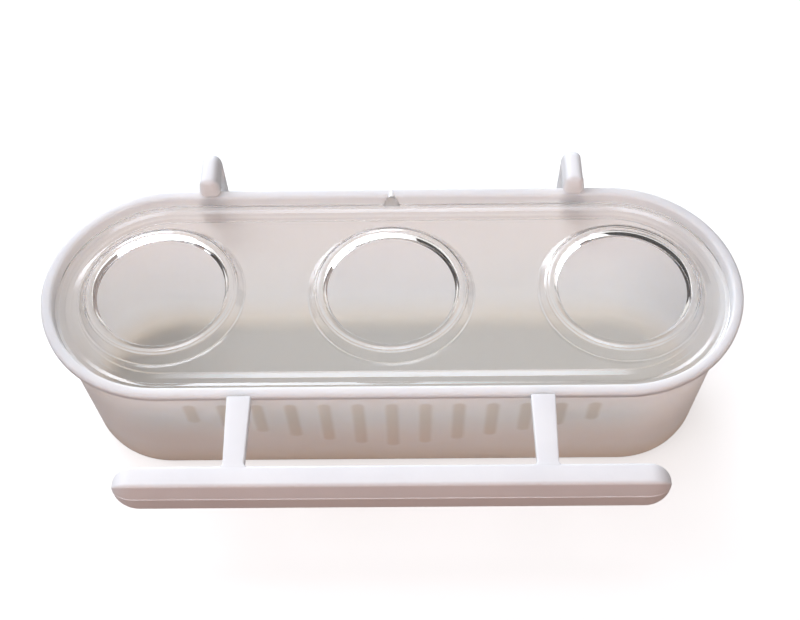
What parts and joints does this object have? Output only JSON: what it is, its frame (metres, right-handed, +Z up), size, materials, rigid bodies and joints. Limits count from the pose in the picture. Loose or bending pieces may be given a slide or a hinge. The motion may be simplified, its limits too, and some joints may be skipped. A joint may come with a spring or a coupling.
{
  "type": "cage seed feeder",
  "caption": "Long round-ended seed trough with a clear lift-off cover pierced by round feeding holes, a plug-in front perch and snap-in rear hooks for a cage wire.",
  "frame": {"origin": "on the table under the middle of the trough's flat floor", "axes": "+X along the trough, +Y from the perch towards the hooks and the cage wall, +Z up"},
  "size_m": [0.2, 0.1102, 0.0645],
  "materials": {
    "milky_polypropylene": "translucent, smooth moulded",
    "clear_polystyrene": "clear, polished",
    "white_polypropylene": "smooth moulded"
  },
  "bodies": {
    "trough_body": {"trough": "milky_polypropylene", "hook_left": "white_polypropylene", "hook_right": "white_polypropylene"},
    "cover_body": {"cover": "clear_polystyrene"},
    "perch_body": {"perch_frame": "white_polypropylene"}
  },
  "joints": [
    {"name": "cover_lift", "type": "slide", "parent": "trough_body", "child": "cover_body", "axis": [0, 0, 1], "range_m": [0, 0.045]},
    {"name": "perch_lift", "type": "slide", "parent": "trough_body", "child": "perch_body", "axis": [0, 0, 1], "range_m": [0, 0.012]}
  ]
}
